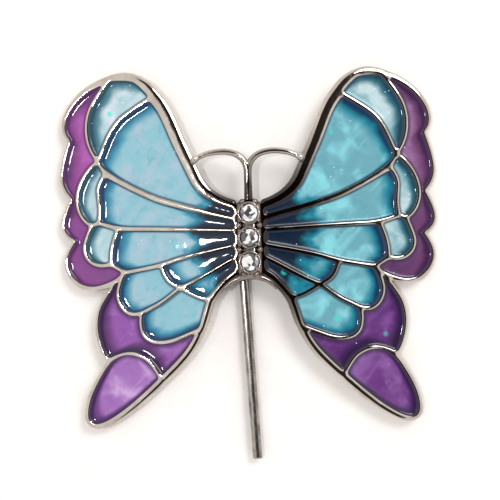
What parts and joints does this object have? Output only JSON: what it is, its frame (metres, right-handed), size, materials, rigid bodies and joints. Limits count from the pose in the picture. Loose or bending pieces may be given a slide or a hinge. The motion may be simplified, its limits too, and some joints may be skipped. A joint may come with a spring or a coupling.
{
  "type": "decorative hair pin",
  "caption": "Butterfly hair grip with resin-filled plated wings, a jewelled body, curled antennae and a sprung two-legged pin that clamps hair.",
  "frame": {"origin": "centre of the whole grip's box, on the surface that the rear leg rests on", "axes": "+Y towards the antennae, +X to the viewer's right, +Z out of the decorated front"},
  "size_m": [0.0576, 0.06, 0.0068],
  "materials": {
    "plated_casting": "polished bright plating",
    "bezel_metal": "polished bright plating",
    "pin_steel": "plated spring steel",
    "resin_teal": "glossy tinted resin",
    "resin_purple": "glossy tinted resin",
    "clear_stone": "faceted clear glass",
    "glue": "set adhesive"
  },
  "bodies": {
    "butterfly": {"wing_frame_left": "plated_casting", "resin_left_top_crescent": "resin_teal", "resin_left_margin": "resin_purple", "resin_left_upper": "resin_teal", "resin_left_mid_crescent": "resin_teal", "resin_left_second": "resin_teal", "resin_left_low_crescent": "resin_teal", "resin_left_third": "resin_teal", "resin_left_hind_near": "resin_teal", "resin_left_hind_foot": "resin_teal", "resin_left_hind_far": "resin_teal", "resin_left_hind_pear": "resin_teal", "resin_left_hind_margin": "resin_purple", "resin_left_tail": "resin_purple", "wing_frame_right": "plated_casting", "resin_right_top_crescent": "resin_teal", "resin_right_margin": "resin_purple", "resin_right_upper": "resin_teal", "resin_right_mid_crescent": "resin_teal", "resin_right_second": "resin_teal", "resin_right_low_crescent": "resin_teal", "resin_right_third": "resin_teal", "resin_right_hind_near": "resin_teal", "resin_right_hind_foot": "resin_teal", "resin_right_hind_far": "resin_teal", "resin_right_hind_pear": "resin_teal", "resin_right_hind_margin": "resin_purple", "resin_right_tail": "resin_purple", "body_spine": "plated_casting", "bezel_1": "bezel_metal", "stone_1": "clear_stone", "bezel_2": "bezel_metal", "stone_2": "clear_stone", "bezel_3": "bezel_metal", "stone_3": "clear_stone", "antennae": "plated_casting", "pin_pad": "pin_steel", "pad_glue": "glue", "pin_front_leg": "pin_steel"},
    "rear_leg": {"pin_rear_leg": "pin_steel"}
  },
  "joints": [
    {"name": "leg_spring", "type": "hinge", "parent": "butterfly", "child": "rear_leg", "pos_m": [-0.00155, 0.00866, 0], "axis": [0.9987, 0.0506, 0], "range_deg": [0, 7], "stiffness_Nm_per_rad": 0.3}
  ]
}
